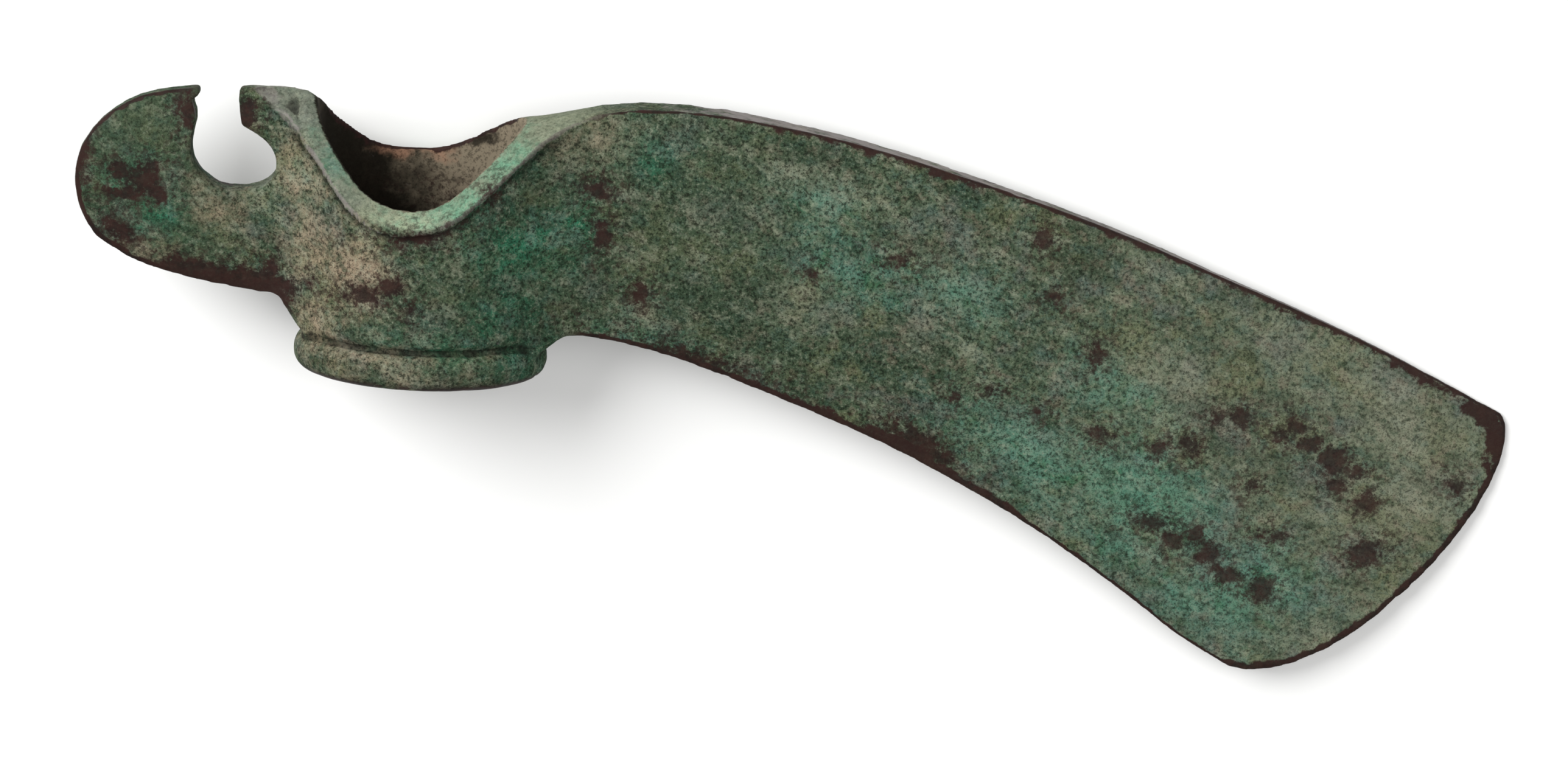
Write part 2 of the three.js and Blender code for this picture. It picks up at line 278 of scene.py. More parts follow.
BARE_LINES = [
    # Under the spine
    (56.0, 38.1, 8.0, 0.5, -10), (66.0, 36.0, 7.0, 0.6, -13), (76.0, 33.3, 8.0, 0.6, -16),
    (88.0, 30.0, 7.0, 0.3, -17), (103.0, 24.9, 10.0, 0.5, -20), (126.0, 15.7, 14.0, 0.5, -22),
    (148.0, 5.9, 8.0, 0.6, -25),
    # Round the upper corner of the edge
    (157.4, 0.6, 3.4, 1.5, -28), (160.3, -3.0, 1.7, 4.4, 8), (159.4, -9.0, 0.7, 4.0, 10),
    # Along the belly
    (50.0, -0.5, 7.0, 0.7, -20), (61.0, -4.6, 8.0, 1.2, -22), (71.5, -8.6, 6.5, 2.0, -25),
    (78.5, -12.4, 4.5, 1.3, -27),
    # The foot of the butt
    (-31.0, 11.4, 8.0, 1.5, -8), (-22.8, 10.9, 3.6, 1.6, -7),
]
VERDIGRIS_PATCHES = [
    # Butt, rim and socket
    (-42.8, 27.5, 3.0, 2.2, 23), (-39.1, 21.1, 3.0, 2.0, 0), (5.6, 27.2, 6.0, 1.8, 22),
    (-13.4, 32.2, 1.8, 4.0, -27), (12.2, 33.0, 2.6, 2.0, 48), (15.0, 20.5, 8.0, 4.5, 0),
    (22.1, 23.6, 3.0, 3.4, 0), (12.8, 11.0, 4.5, 3.0, 0), (4.3, 6.4, 6.0, 1.6, 0),
    (14.7, 4.0, 3.4, 2.0, 0),
    # Root of the blade
    (33.6, 34.0, 3.6, 2.6, 0), (58.3, 28.0, 4.5, 3.0, -10), (64.0, 17.5, 8.0, 3.4, -17),
    (34.3, 6.6, 4.6, 1.6, -7),
    # The lower half of the blade
    (91.0, -8.0, 13.0, 5.5, -24), (108.0, -14.0, 15.0, 7.0, -24), (103.0, 1.5, 8.0, 3.5, -22),
    (127.0, -26.0, 9.0, 5.0, -17), (123.1, -38.1, 2.4, 1.6, 0), (60.0, 22.5, 4.0, 2.4, -12),
    (121.0, -30.0, 9.0, 5.0, -22),
    # The border of the lower half
    (78.0, 16.0, 8.0, 3.6, -20), (92.0, -13.0, 7.0, 3.0, -33), (104.0, -21.5, 8.0, 4.0, -34),
    (115.0, -30.0, 7.0, 4.0, -36),
]
WORN_PATCHES = [
    # The lip's top
    (-23.6, 40.0, 2.8, 0.9, -42), (-20.8, 37.4, 2.4, 0.5, -45),
]
SHELTERED_PATCHES = [
    # The belly towards the lower corner
    (101.0, -24.0, 12.0, 5.0, -33), (114.0, -33.0, 10.0, 5.0, -36),
]
BORE_SHADOWS = [
    # Painted shadow, dark, under the far rim
    (-12.8, 34.8, 3.4, 2.4, -38), (-8.6, 32.2, 2.6, 1.3, -20), (7.4, 32.6, 1.8, 0.8, 15),
    (3.2, 31.5, 1.6, 0.6, 5),
]
BORE_RUSTS = [
    # Red-brown, between the painted shadows
    (-5.0, 30.7, 2.8, 1.4, -5), (0.6, 30.6, 2.4, 1.0, 0),
]
EARTH_AND_HIGHLIGHT_PATCHES = [
    # Butt and socket, and a painted highlight on the collar's upper side
    (-17.0, 28.0, 3.6, 7.0, 13), (-15.4, 20.0, 4.4, 7.0, 0), (-9.5, 16.8, 6.0, 6.0, 0),
    (-15.0, 8.0, 4.0, 4.6, 0), (-30.0, 23.0, 4.0, 2.2, -27), (-39.6, 15.1, 3.4, 1.8, -12),
    # The second patch on the next line is a painted highlight on the collar's upper side, in earth's
    # colour
    (-3.0, 24.6, 5.0, 2.0, 0), (-7.0, 3.6, 11.0, 2.2, -4),
    # Root of the blade
    (24.6, 36.0, 6.0, 2.6, 11), (60.0, 30.5, 7.0, 3.0, -17), (57.0, 12.5, 6.0, 2.6, -12),
    (34.0, 9.5, 4.4, 2.4, 0),
    # Blade
    (74.6, 10.1, 4.0, 3.4, 0), (92.0, -6.0, 5.0, 2.4, -20), (111.6, 2.3, 9.0, 5.0, -22),
    (145.0, 0.0, 10.0, 5.5, -27), (138.3, -14.6, 6.0, 2.8, -7), (149.0, -13.0, 7.0, 6.0, 40),
    (134.8, -34.0, 5.0, 2.0, 12), (131.6, 9.4, 8.0, 2.8, -19), (75.2, 21.2, 5.6, 3.4, -20),
    (78.0, 15.5, 4.6, 2.8, -20),
]
crust = CUPRITE_PATCHES + BARE_LINES + VERDIGRIS_PATCHES + EARTH_AND_HIGHLIGHT_PATCHES
others = WORN_PATCHES + SHELTERED_PATCHES + BORE_SHADOWS + BORE_RUSTS
print("patches in the crust:", len(crust), " others:", len(others))

# %% Fields on the net
BACK_SHIFT = 9.0  # millimetres along the head
BACK_GROWTH = 1.4
BACK_EVERY = 3
FAR_OUTSIDE = -12.0
CUPRITE_GROWTH = 0.3  # millimetres all round
DRIFT_SEED = 5
SMALL_DRIFT = (1.7, 0.9)  # size of its waves and reach, millimetres
WIDE_DRIFT = (5.0, 2.0)

points = numpy.empty(3 * len(net.vertices))
net.vertices.foreach_get("co", points)
from_bore = (points.reshape(-1, 3) - numpy.array(origin)) / MM
along, up, out = (from_bore @ numpy.array(axis) for axis in (along_axis, up_axis, out_axis))


def drift(size, reach):
    """A smooth wandering shift of every point, so that ovals turn into blots."""
    shifts = [mathutils.noise.noise_vector(Vector(place) / size) for place in from_bore]
    return numpy.array(shifts).T * reach


def patch_field(patches, shift):
    """Millimetres inside the edge of the nearest patch, less than 0 outside."""
    field = numpy.full(len(along), FAR_OUTSIDE)
    for middle, height, half_length, half_width, turn in patches:
        cosine = math.cos(math.radians(turn))
        sine = math.sin(math.radians(turn))
        right = along + shift[0] - middle
        above = up + shift[1] - height
        lengthwise = (right * cosine + above * sine) / half_length
        crosswise = (above * cosine - right * sine) / half_width
        reach = numpy.hypot(lengthwise, crosswise)
        field = numpy.maximum(field, (1 - reach) * min(half_length, half_width))
    return field


def both_sides(patches, shift):
    moved = [
        (middle + BACK_SHIFT, height, length * BACK_GROWTH, width * BACK_GROWTH, -turn)
        for middle, height, length, width, turn in patches[::BACK_EVERY]
    ]
    return numpy.where(out > 0, patch_field(patches, shift), patch_field(moved, shift))


def keep_field(name, values):
    held = net.attributes.new(name, "FLOAT", "POINT")
    held.data.foreach_set("value", values.astype(numpy.float32))
    print("field", name, "covers", round(100 * float((values > 0).mean()), 1), "% of the net")


mathutils.noise.seed_set(DRIFT_SEED)
small_drift = drift(*SMALL_DRIFT)
wide_drift = drift(*WIDE_DRIFT)
keep_field("cuprite", both_sides(CUPRITE_PATCHES, small_drift) + CUPRITE_GROWTH)
keep_field("verdigris", both_sides(VERDIGRIS_PATCHES, wide_drift))
# Earth, with a painted highlight on the collar's upper side
keep_field("earth_and_highlight", both_sides(EARTH_AND_HIGHLIGHT_PATCHES, wide_drift))
keep_field("polish", patch_field(WORN_PATCHES, small_drift))
keep_field("shelter", patch_field(SHELTERED_PATCHES, wide_drift))
keep_field("bare line", both_sides(BARE_LINES, small_drift))
# Painted shadow and rust on the bore's far wall
for name, patches in (("bore shadow", BORE_SHADOWS), ("bore rust", BORE_RUSTS)):
    keep_field(name, numpy.where(out < 0, patch_field(patches, small_drift), FAR_OUTSIDE))

# %% [markdown]
# Some places have a finish of their own. The bore's wall is brown and earthy, and painted with shade: it
# is darkest low down and towards the butt, and palest high up and towards the blade, where the light
# falls in. It is found by the oval that the haft filled, which widens and leans a little towards the
# mouth. The mouth has a pale band on its rim, a ridge outside it that is grey, partly from wear and partly
# a painted highlight, and a far rim that is painted dark as shade. The spine is grey and smooth, partly
# from wear and partly a painted highlight. The collar's roll and the edges round the notch keep more of
# their green than other edges do.

# %% Fields of the bore, the rim, the spine, the collar and the notch
BORE_HALF_LENGTH = (14.0, 15.1)  # at the foot and at the mouth
BORE_LEAN = -1.3
BORE_SHAPE = 0.71  # width over length
BORE_HEIGHT = 41.4
BORE_MARGIN = 1.035
# Painted shade of the bore's wall: it is painted lighter high up and towards the blade
BORE_LIGHT_UP = (22.0, 36.0)
BORE_LIGHT_ALONG = (-11.0, 5.0)
BORE_LIGHT_SHARES = (0.35, 0.65)  # of the height and of the place along
MOUTH_ALONG = ((-26.0, -22.0), (28.0, 21.0))
MOUTH_UP = (16.0, 19.0)
RIM_OVAL = (1.10, 1.20)
BAND_FACING = (0.30, 0.60)
FAR_RIM = -4.0  # beyond this the rim is painted dark, as shade
SPINE_FACING = (0.5, 0.85)
SPINE_ALONG = (26.0, 46.0)
NOTCH_MIDDLE = (-27.4, 32.0)
NOTCH_REACH = (9.5, 12.0)
COLLAR_UP = ((0.1, 0.9), (9.0, 7.0))
COLLAR_END = (24.0, 21.0)


def ramp(values, start, end):
    """0 before start, 1 after end, straight between."""
    return numpy.clip((values - start) / (end - start), 0, 1)


rise = up / BORE_HEIGHT
bore_length = BORE_HALF_LENGTH[0] + (BORE_HALF_LENGTH[1] - BORE_HALF_LENGTH[0]) * rise
oval = numpy.hypot(along - BORE_LEAN * rise, out / BORE_SHAPE) / bore_length
facing = numpy.empty(3 * len(net.vertices))
net.vertex_normals.foreach_get("vector", facing)
upward = facing.reshape(-1, 3) @ numpy.array(up_axis)
near_mouth = ramp(along, *MOUTH_ALONG[0]) * ramp(along, *MOUTH_ALONG[1]) * ramp(up, *MOUTH_UP)

keep_field("bore", (oval < BORE_MARGIN).astype(float))
# Painted light and shade of the bore's wall, higher where the wall is painted lighter
keep_field("bore light", BORE_LIGHT_SHARES[0] * ramp(up, *BORE_LIGHT_UP) + BORE_LIGHT_SHARES[1] * ramp(along, *BORE_LIGHT_ALONG))
keep_field("mouth", near_mouth * (out > FAR_RIM))
# Painted shade on the far rim
keep_field("shaded far rim", near_mouth * (out < FAR_RIM))
keep_field("ridge", near_mouth * ramp(oval, *RIM_OVAL) * (out > 0))
keep_field("band", near_mouth * ramp(upward, *BAND_FACING) * (oval > BORE_MARGIN))
keep_field("spine", ramp(upward, *SPINE_FACING) * ramp(along, *SPINE_ALONG))
collar_height = ramp(up, *COLLAR_UP[0]) * ramp(up, *COLLAR_UP[1])
keep_field("collar", collar_height * ramp(numpy.abs(along), *COLLAR_END))
from_notch = numpy.hypot(along - NOTCH_MIDDLE[0], up - NOTCH_MIDDLE[1])
keep_field("notch", ramp(from_notch, *reversed(NOTCH_REACH)))

# %% [markdown]
# ## Relief of the casting
#
# Geometry Nodes make the surface, because it follows rules all over. First a short blur takes the net's
# steps away. How far a point stands from its blurred surroundings tells edges from hollows, and is stored
# for the finish, with how much of it is upward. A long blur takes out the last of the facets, held back
# near edges and hollows, which it would eat, and these are drawn a little sharper instead. Last come the
# casting's own unevenness, pits, sunken cuprite and small chips in the edges.

# %% Relief tree
RELIEF_SIZES = {
    "Edge rounds": 2,
    "Measure rounds": 24,
    "Facet rounds": 64,
    "Sharpen": 0.45,
    "Swell": 0.10,
    "Lumps": 0.050,
    "Pits": 0.16,
    "Cuprite sink": 0.10,
    "Chips": 0.08,
}
RELIEF_NOISES = {
    # size in millimetres, detail, roughness, shift
    "swell": (13.0, 1.0, 0.55, 0.0),
    "lumps": (2.6, 3.0, 0.55, 7.0),
    "pitted": (9.0, 2.0, 0.55, 3.0),
    "broken": (3.4, 3.0, 0.55, 11.0),
    "crust": (1.9, 4.0, 0.65, 0.0),
}
BROAD_NOISES = {
    # the same four values, for the finish
    "cloud": (15.0, 3.0, 0.6, 0.0),
    "drab": (7.0, 3.0, 0.6, 71.0),
    "rubbed": (9.0, 2.0, 0.6, 53.0),
    # the noise that makes the painted shade in the hollows patchy
    "hollow_patchiness": (5.0, 3.0, 0.6, 79.0),
}
STANDS_OFF = (0.05, 0.11)  # millimetres from the blurred surroundings
SHARP_ROUNDS = 12
SHARP_SPREAD = (0.0, 0.4)
CREASE_ROUNDS = 6
PIT_SPACING = 3.1  # millimetres
PIT_WALL = (0.34, 0.12)  # its top and its foot, from the pit's middle, over the spacing
PITTED_PLACES = (0.5, 0.62)  # where the noise of that name starts to count, and where it is full
BROKEN_PLACES = (0.52, 0.70)
CHIPPED_EDGES = (0.08, 0.2)  # millimetres that an edge stands out
CRUST_BREAK = 4.0  # millimetres, the whole range that the edges of a patch wander
CRUST_EDGE = (-0.9, 0.5)  # millimetres inside a patch


def relief_inputs(tree):
    tree.interface.new_socket("Geometry", in_out="INPUT", socket_type="NodeSocketGeometry")
    for name, value in RELIEF_SIZES.items():
        kind = "NodeSocketInt" if isinstance(value, int) else "NodeSocketFloat"
        tree.interface.new_socket(name, in_out="INPUT", socket_type=kind)
    tree.interface.new_socket("Material", in_out="INPUT", socket_type="NodeSocketMaterial")
    tree.interface.new_socket("Geometry", in_out="OUTPUT", socket_type="NodeSocketGeometry")
    group_input = tree.nodes.new("NodeGroupInput")
    return {socket.name: Wire(tree, socket) for socket in group_input.outputs if socket.name}


def blurred(value, rounds, kind="FLOAT_VECTOR", weight=1.0):
    sockets = {"Value": value, "Iterations": rounds, "Weight": weight}
    return value.node("GeometryNodeBlurAttribute", {"data_type": kind}, sockets)


def vector(first, operation, second, output=0):
    return first.node("ShaderNodeVectorMath", {"operation": operation}, {0: first, 1: second}, output)


def scaled(arrow, factor):
    return arrow.node("ShaderNodeVectorMath", {"operation": "SCALE"}, {0: arrow, "Scale": factor})


def stored(shape, name, value):
    settings = {"data_type": "FLOAT", "domain": "POINT"}
    sockets = {"Geometry": shape, "Name": name, "Value": value}
    return shape.node("GeometryNodeStoreNamedAttribute", settings, sockets)


def held(shape, name):
    return shape.node("GeometryNodeInputNamedAttribute", {"data_type": "FLOAT"}, {"Name": name})


def moved(shape, **sockets):
    return shape.node("GeometryNodeSetPosition", {}, {"Geometry": shape} | sockets)


def cuprite_mask(place, field):
    """Where the crust has come away: the patches with their edges broken up."""
    ragged = noise(place, *RELIEF_NOISES["crust"]) - 0.5
    return step(field + ragged * CRUST_BREAK, *CRUST_EDGE)


def uneven(place, name):
    """A noise between about -1 and 1."""
    return (noise(place, *RELIEF_NOISES[name]) - 0.5) * 2.0


def relief_tree():
    tree = bpy.data.node_groups.new("relief of the casting", "GeometryNodeTree")
    given = relief_inputs(tree)
    shape = given["Geometry"]
    position = shape.node("GeometryNodeInputPosition")
    normal = shape.node("GeometryNodeInputNormal")

    # How far each place stands out as an edge, or lies back as a hollow, in millimetres
    shape = moved(shape, Position=blurred(position, given["Edge rounds"]))
    stand_off = vector(position, "SUBTRACT", blurred(position, given["Measure rounds"]))
    side = vector(stand_off, "DOT_PRODUCT", normal, output="Value") * (1 / MM)
    shape = stored(shape, "edge", side)
    rise = vector(stand_off, "DOT_PRODUCT", tuple(up_axis), output="Value") * (1 / MM)
    shape = stored(shape, "rise", rise)
    edge = held(shape, "edge")

    # Facets smoothed out away from edges and hollows, and these sharpened
    stands_off = step(edge.math("ABSOLUTE", edge), *STANDS_OFF)
    spread = blurred(stands_off, SHARP_ROUNDS, kind="FLOAT")
    shape = stored(shape, "sharp", step(spread, *SHARP_SPREAD))
    sharp = held(shape, "sharp")
    shape = moved(shape, Position=blurred(position, given["Facet rounds"], weight=1 - sharp))
    crease = vector(position, "SUBTRACT", blurred(position, CREASE_ROUNDS))
    shape = moved(shape, Offset=scaled(crease, sharp * given["Sharpen"]))

    # Unevenness of the cast and corroded surface, in millimetres along the normal
    place = scaled(position, 1 / MM)
    for name, sizes in BROAD_NOISES.items():
        shape = stored(shape, name, noise(place, *sizes))
    swell = uneven(place, "swell") * given["Swell"]
    lumps = uneven(place, "lumps") * given["Lumps"]
    spacing = {"Vector": place, "Scale": 1 / PIT_SPACING}
    cells = place.node("ShaderNodeTexVoronoi", {"feature": "SMOOTH_F1"}, spacing)
    pitted = step(noise(place, *RELIEF_NOISES["pitted"]), *PITTED_PLACES)
    pits = step(cells, *PIT_WALL) * pitted * given["Pits"]
    sink = cuprite_mask(place, held(shape, "cuprite")) * given["Cuprite sink"]
    broken = step(noise(place, *RELIEF_NOISES["broken"]), *BROKEN_PLACES)
    chips = step(edge, *CHIPPED_EDGES) * broken * given["Chips"]
    shape = moved(shape, Offset=scaled(normal, (swell + lumps - pits - sink - chips) * MM))

    # A plain mesh with its finish
    shape = shape.node("GeometryNodeSetShadeSmooth", {}, {"Geometry": shape})
    shape = shape.node("GeometryNodeRealizeInstances", {}, {"Geometry": shape})
    finish = {"Geometry": shape, "Material": given["Material"]}
    shape = shape.node("GeometryNodeSetMaterial", {}, finish)
    group_output = tree.nodes.new("NodeGroupOutput")
    tree.links.new(shape.socket, group_output.inputs["Geometry"])
    return tree


relief = relief_tree()
print("nodes in the relief tree:", len(relief.nodes))

# %% [markdown]
# ## Patina
#
# The finish is built in the order in which it grew. Over the bronze lies an olive ground, clouded with
# moss and stone grey, paler towards the cutting edge. Earth and verdigris lie on it in their patches,
# and a grain of dark and pale flecks, half a millimetre across, runs over them. The bore is brown, with
# painted shade. Ridges are grey, partly worn and partly a painted highlight, and the hollows are painted
# dark as shade. Cuprite shows last: in its patches, in specks around them, in its lines and along worn
# edges, and as painted shade on edges that face down and on the far rim. Metal shows nowhere, so the
# finish isn't metallic, and only what is rubbed is smooth enough to shine.
#
# A layer is written as how much of it shows, and its colour. So `step(mottle, 0.51, 0.66) * 0.80` reads:
# nothing where the mottle is under 0.51, and 0.80 of the colour where it is over 0.66.
#
# The broad noises are read from the mesh, where the relief tree stored them. That leaves the shader only
# the fine ones, and the render is quicker for it.

# %% Colours of the patina
MOSS = (0.026, 0.044, 0.025)
OLIVE = (0.060, 0.086, 0.050)
STONE = (0.138, 0.152, 0.104)
SLATE = (0.088, 0.098, 0.090)
YELLOW_OLIVE = (0.112, 0.118, 0.056)
UMBER = (0.120, 0.092, 0.066)
TEAL = (0.040, 0.088, 0.072)
PALE_BAND = (0.205, 0.222, 0.158)
PALE_RIM = (0.350, 0.375, 0.245)
WARM_EARTH_AND_HIGHLIGHT = (0.290, 0.218, 0.150)
GREY_EARTH = (0.220, 0.218, 0.160)
EMERALD = (0.011, 0.105, 0.055)
VIVID_GREEN = (0.026, 0.215, 0.122)
TURQUOISE = (0.072, 0.180, 0.136)
MINT = (0.104, 0.285, 0.182)
DARK_FLECK = (0.005, 0.007, 0.004)
PALE_FLECK = (0.225, 0.242, 0.176)
BORE_EARTH = (0.172, 0.143, 0.101)
BORE_DARK = (0.009, 0.007, 0.005)
BORE_RUST = (0.340, 0.180, 0.115)
# Grey of wear, used partly as a painted highlight on the ridges and the spine
GREY_WEAR_AND_HIGHLIGHT = (0.190, 0.164, 0.162)
WORN_BROWN = (0.048, 0.032, 0.030)
# Painted shade in the hollows
HOLLOW_SHADE = (0.006, 0.0055, 0.0045)
CUPRITE = (0.0135, 0.0076, 0.0070)
CUPRITE_RED = (0.024, 0.0108, 0.0094)


def layered(colour, layers):
    """The colour with layers laid on it in order. Each is how much of it shows, and its own colour."""
    for share, over in layers:
        colour = blend(share, colour, over)
    return colour


print("ground from", MOSS, "to", OLIVE)

# %% [markdown]
# Every fine noise has a size in millimetres on the metal, and a shift of its own, so that no two of them
# run together. Places along the head are told by the frame's X, also in millimetres.

# %% Noises and places of the patina
PATINA_NOISES = {
    # size in millimetres, detail, roughness, shift
    "mottle": (3.0, 4.0, 0.72, 5.0),
    "hue": (2.2, 3.0, 0.7, 59.0),
    "earth_and_highlight": (2.2, 4.0, 0.75, 13.0),
    "verdigris": (2.4, 4.0, 0.75, 17.0),
    "tint": (3.4, 3.0, 0.55, 19.0),
    "blotch": (1.5, 3.0, 0.65, 67.0),
    "stain": (4.0, 4.0, 0.65, 23.0),
    "streak": (1.6, 4.0, 0.7, 61.0),
    "ragged": (2.4, 4.0, 0.7, 31.0),
    "specks": (1.0, 3.0, 0.65, 73.0),
    "grain": (0.62, 4.0, 0.8, 37.0),
    "fine": (0.24, 1.0, 0.55, 41.0),
}
DROOP = math.radians(-27)
STREAK_LENGTH = 2.4  # over its width
SOCKET_TO_BLADE = (-45.0, -5.0)
BLADE_TO_EDGE = (10.0, 95.0)
BUTT_TO_SOCKET = (-98.0, -76.0)
NOTCH_TO_BUTT = (-72.0, -92.0)
ROOT_OF_BLADE = ((-65.0, -50.0), (20.0, -15.0))
RIM_TO_BROWN = (-66.0, -54.0)
RIM_TO_BUTT = (-60.0, -68.0)


def field(start, name):
    return start.node("ShaderNodeAttribute", {"attribute_name": name}, output="Fac")


def fine_noise(place, name):
    return noise(place, *PATINA_NOISES[name])


def streaked(place):
    """The same place, drawn out along the drooping blade."""
    sockets = {"Vector": place, "Rotation": (0, 0, DROOP), "Scale": (STREAK_LENGTH, 1, 1)}
    return place.node("ShaderNodeMapping", {"vector_type": "TEXTURE"}, sockets)


print("fine noises:", len(PATINA_NOISES))


# %% Ground, earth and verdigris
def ground(start, place, across, mottle):
    hue = fine_noise(place, "hue")
    drab = field(start, "drab")
    band = field(start, "band")
    root = step(across, *ROOT_OF_BLADE[0]) * step(across, *ROOT_OF_BLADE[1])
    clouded = blend(step(field(start, "cloud"), 0.34, 0.60), MOSS, OLIVE)
    return layered(clouded, [
        (step(mottle, 0.51, 0.66) * 0.80, STONE),
        (step(mottle, 0.50, 0.36) * 0.85, MOSS),
        (step(across, *BLADE_TO_EDGE) * 0.55, STONE),
        (step(drab, 0.52, 0.64) * 0.50, SLATE),
        (step(drab, 0.47, 0.36) * 0.45, YELLOW_OLIVE),
        (step(hue, 0.52, 0.66) * 0.45, UMBER),
        (step(hue, 0.48, 0.36) * 0.35, TEAL),
        (step(across, *NOTCH_TO_BUTT) * 0.52, MOSS),
        (root * 0.42, MOSS),
        (band * 0.60, PALE_BAND),
        (band * step(across, *RIM_TO_BUTT) * 0.50, SLATE),
    ])


def earth_and_highlight_layer(start, place, across, on_blade, colour):
    ragged = fine_noise(place, "earth_and_highlight") - 0.5
    # The patches include a painted highlight on the collar's upper side
    share = step(field(start, "earth_and_highlight") + ragged * 12.0, -3.0, 7.0)
    band = field(start, "band")
    earth_and_highlight = blend(band, blend(on_blade, WARM_EARTH_AND_HIGHLIGHT, GREY_EARTH), PALE_RIM)
    clean = 1 - band * step(across, *RIM_TO_BUTT) * 0.8
    return blend(share * clean * (0.78 - on_blade * 0.26), colour, earth_and_highlight)


def verdigris_layer(start, place, across, on_blade, colour):
    ragged = fine_noise(place, "verdigris") - 0.5
    tint = fine_noise(place, "tint") - 0.05 + on_blade * 0.19
    depth = field(start, "verdigris") + ragged * 13.0
    band = field(start, "band")
    green = layered(blend(step(tint, 0.46, 0.62), EMERALD, TURQUOISE), [
        (step(depth, 1.5, 5.5) * (0.75 - on_blade * 0.50), VIVID_GREEN),
        (band * step(across, *reversed(RIM_TO_BUTT)), MINT),
    ])
    share = step(depth, -3.5, 5.0)
    return blend(share * (0.66 - on_blade * 0.06 + band * 0.08), colour, green)


print("layers over the bronze:", [layer.__name__ for layer in (ground, earth_and_highlight_layer, verdigris_layer)])


# %% Flecks, bore and wear
def flecks(start, place, across, mottle, grain, fine, colour):
    blotch = fine_noise(place, "blotch")
    plain = 1 - field(start, "band") * 0.5
    coarse = step(across, *reversed(BLADE_TO_EDGE)) * step(across, *BUTT_TO_SOCKET)
    return layered(colour, [
        (step(mottle, 0.48, 0.35) * plain * 0.45, MOSS),
        (step(mottle, 0.56, 0.70) * plain * 0.20, PALE_FLECK),
        (step(blotch, 0.47, 0.34) * plain * 0.55, MOSS),
        (step(blotch, 0.55, 0.70) * 0.28, PALE_FLECK),
        (step(grain, 0.52, 0.38) * plain * (0.64 + coarse * 0.18), DARK_FLECK),
        (step(grain, 0.54, 0.70) * (0.26 + coarse * 0.26), PALE_FLECK),
        (step(fine, 0.46, 0.30) * plain * 0.5, DARK_FLECK),
    ])


def bore_layer(start, place, grain, colour):
    stain = fine_noise(place, "stain") - 0.5
    # Painted shade: the wall is dark low down and towards the butt, lighter high up and towards the blade
    lit_wall = blend(step(field(start, "bore light") + stain * 0.8, 0.25, 0.80), BORE_DARK, BORE_EARTH)
    wall = layered(lit_wall, [
        (step(field(start, "bore rust") + stain * 5.0, -1.0, 0.8) * 0.6, BORE_RUST),
        # Painted shadow under the far rim
        (step(field(start, "bore shadow") + stain * 5.0, -0.8, 0.4) * 0.9, BORE_DARK),
        (step(grain, 0.52, 0.38) * 0.6, BORE_DARK),
    ])
    return blend(field(start, "bore") * 0.97, colour, wall)


def wear_and_highlight_layer(start, place, across, ragged, colour):
    """Grey wear and painted highlight on the rim's ridge, the lip and the spine, and how much shows."""
    streak = fine_noise(streaked(place), "streak") - 0.5
    rim = step(field(start, "edge") + ragged * 0.26, 0.25, 0.33) * field(start, "ridge") * 0.7
    lip = step(field(start, "polish") + ragged * 1.6, -0.3, 0.4) * 0.5
    spine = step(field(start, "spine") + streak * 2.6, 0.4, 1.1)
    sheen = larger(lip, larger(rim, spine))
    # The grey is partly wear and partly a painted highlight
    wear_and_painted_light = blend(rim * step(across, *RIM_TO_BROWN), GREY_WEAR_AND_HIGHLIGHT, WORN_BROWN)
    return blend(sheen * 0.75, colour, wear_and_painted_light), sheen


def shaded_hollows_layer(start, grain, colour):
    # Painted shade: the hollows are darkened, more in some places than others
    hollow_patchiness = step(field(start, "hollow_patchiness"), 0.40, 0.60) * 0.40 + 0.40
    hollow = step(field(start, "edge") + (grain - 0.5) * 0.08, -0.02, -0.14)
    return blend(hollow * hollow_patchiness, colour, HOLLOW_SHADE)


print("layers on the crust:", [layer.__name__ for layer in (flecks, bore_layer, wear_and_highlight_layer, shaded_hollows_layer)])


# %% Cuprite
def worn_and_shaded_edges(start, on_blade, ragged):
    """Edges rubbed bare, with painted shade on those that face down and on the far rim.

    Those that face up, the collar's roll, the mouth and the notch are spared.
    """
    # Edges that face up are spared more, so those that face down take painted shade
    spared = larger(field(start, "rise"), 0.0) * 0.5 + step(field(start, "shelter"), -1.0, 1.0) * 0.14
    rubbed = ragged * 0.24 + (field(start, "rubbed") - 0.5) * 0.20
    # The far rim is painted darker, as shade
    edge = field(start, "edge") - spared + rubbed + on_blade * 0.03 + field(start, "shaded far rim") * 0.07
    kept = (1 - field(start, "mouth")) * (1 - field(start, "collar")) * (1 - field(start, "notch") * 0.8)
    return step(edge, 0.12, 0.17) * kept


def cuprite_layer(start, place, on_blade, grain, ragged, colour):
    """Brown where the crust has come away, with painted shade on edges that face down and on the far rim.

    Also how bare the surface is.
    """
    inside = field(start, "cuprite")
    patches = cuprite_mask(place, inside + (0.5 - grain) * 4.0)
    specks = fine_noise(place, "specks")
    around = step(inside, -4.5, -0.2) * step(specks, 0.50, 0.40)
    solid = step(inside * 0.25 - specks, -0.58, -0.42)
    line = step(field(start, "bare line") + ragged * 1.8 + (0.5 - grain) * 1.2, -0.3, 0.3)
    line = line * (1 - field(start, "spine"))
    # Worn edges and bare lines, with painted shade on edges that face down and on the far rim
    wear_and_painted_light = larger(worn_and_shaded_edges(start, on_blade, ragged), line)
    faint = 1 - on_blade * 0.06
    shown = larger(larger(wear_and_painted_light, patches * faint * (0.64 + solid * 0.34)), around * 0.7)
    red = larger(step(ragged, -0.10, 0.10), line * 0.7)
    brown = blend(red, CUPRITE, CUPRITE_RED)
    return blend(shown * 0.95, colour, brown), larger(patches, wear_and_painted_light)


print("layers of cuprite:", [layer.__name__ for layer in (worn_and_shaded_edges, cuprite_layer)])

